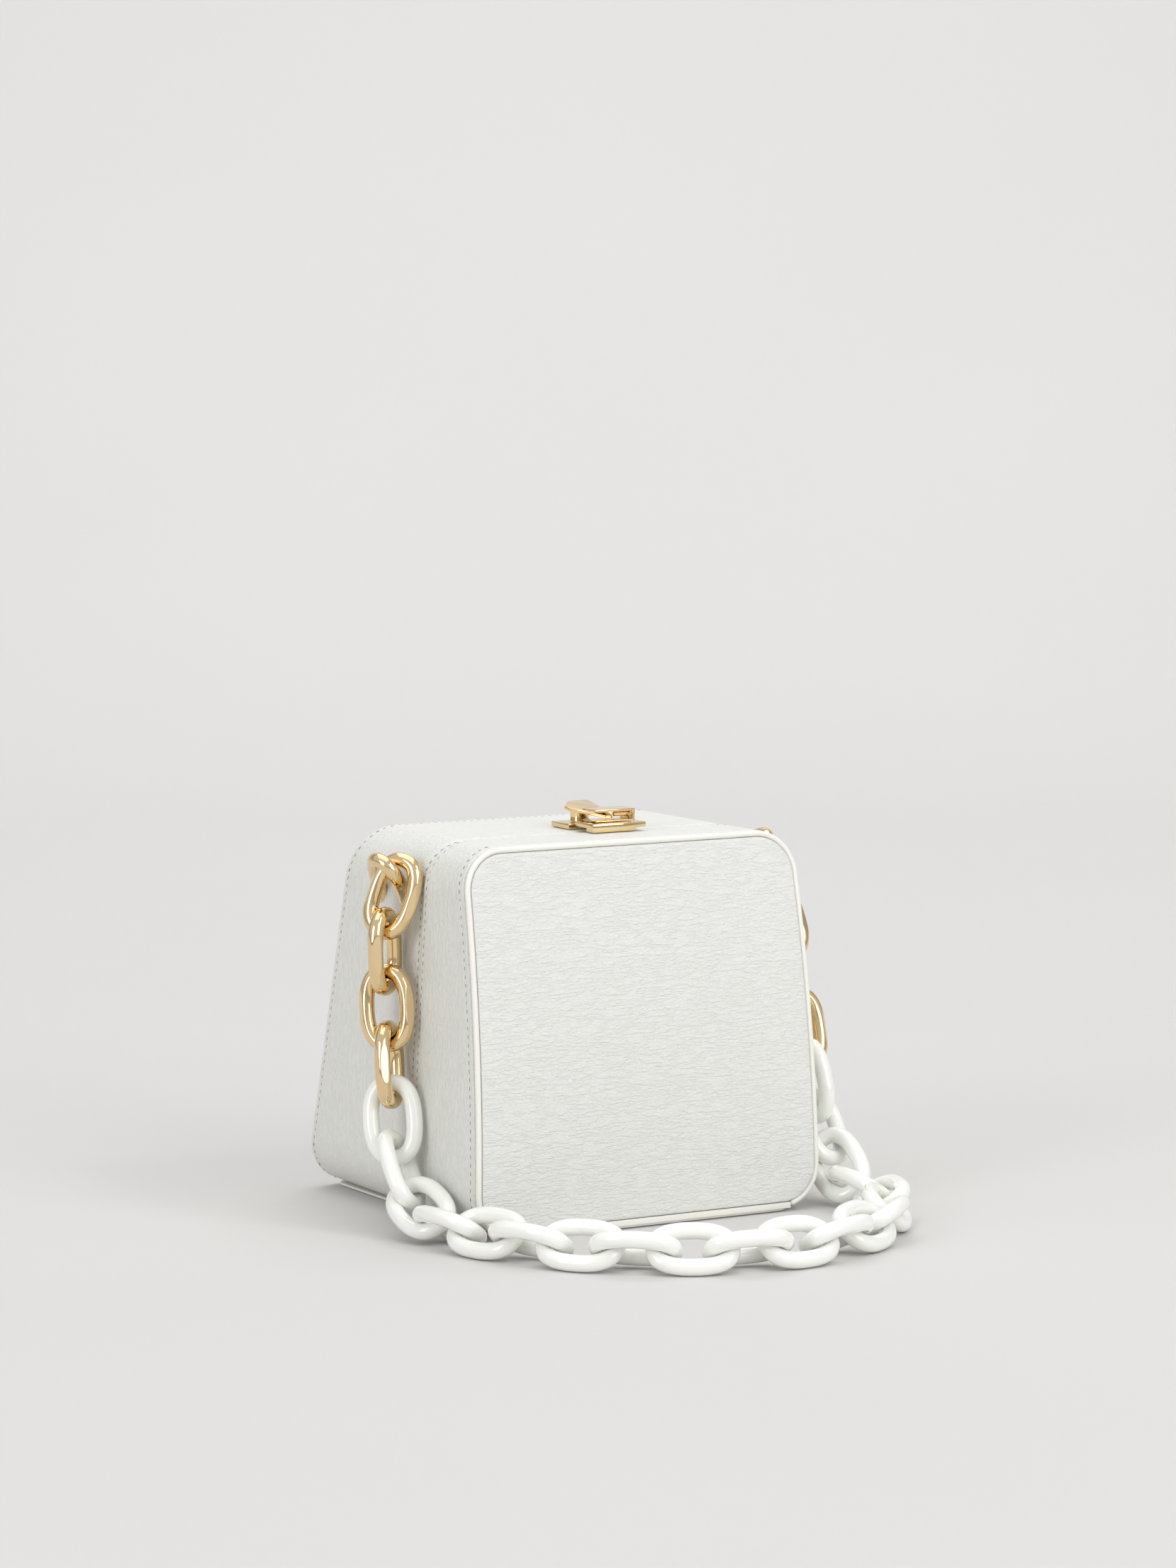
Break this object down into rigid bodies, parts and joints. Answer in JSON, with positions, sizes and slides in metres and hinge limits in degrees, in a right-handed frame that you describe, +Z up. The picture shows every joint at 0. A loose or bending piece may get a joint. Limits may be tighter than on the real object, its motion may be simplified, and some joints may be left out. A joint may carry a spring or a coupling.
{
  "type": "box handbag",
  "caption": "Boxy leather handbag in two halves that flare towards the base, with piping, a lever latch on top and a chunky link chain as its strap.",
  "frame": {"origin": "middle of the base plate's underside, on the surface that the bag stands on", "axes": "+X along the width, +Y from the front face to the back, along which the bag and its lying chain are longest, +Z up"},
  "size_m": [0.2036, 0.2487, 0.1618],
  "materials": {
    "leather": "white fine-grained leather, matt with a soft sheen",
    "edging": "smooth cream leather edging",
    "gold": "polished pale gold plating",
    "enamel": "glossy white enamel"
  },
  "bodies": {
    "bag": {"front_shell": "leather", "back_shell": "leather", "front_piping": "edging", "base_plate": "edging", "latch_back_plate": "gold", "latch_front_plate": "gold", "latch_keeper": "gold", "ring_left": "gold", "ring_right": "gold", "gold_link_left_1": "gold", "gold_link_left_2": "gold", "gold_link_left_3": "gold", "gold_link_left_4": "gold", "enamel_link_1": "enamel", "enamel_link_2": "enamel", "enamel_link_3": "enamel", "enamel_link_4": "enamel", "enamel_link_5": "enamel", "enamel_link_6": "enamel", "enamel_link_7": "enamel", "enamel_link_8": "enamel", "enamel_link_9": "enamel", "enamel_link_10": "enamel", "enamel_link_11": "enamel", "enamel_link_12": "enamel", "enamel_link_13": "enamel", "enamel_link_14": "enamel", "enamel_link_15": "enamel", "enamel_link_16": "enamel", "enamel_link_17": "enamel", "enamel_link_18": "enamel", "enamel_link_19": "enamel", "enamel_link_20": "enamel", "gold_link_right_4": "gold", "gold_link_right_3": "gold", "gold_link_right_2": "gold", "gold_link_right_1": "gold"},
    "lever": {"latch_lever": "gold"}
  },
  "joints": [
    {"name": "lever_turn", "type": "hinge", "parent": "bag", "child": "lever", "pos_m": [0.0033, -0.0103, 0.1575], "axis": [0, 0, 1], "range_deg": [-90, 0]}
  ]
}
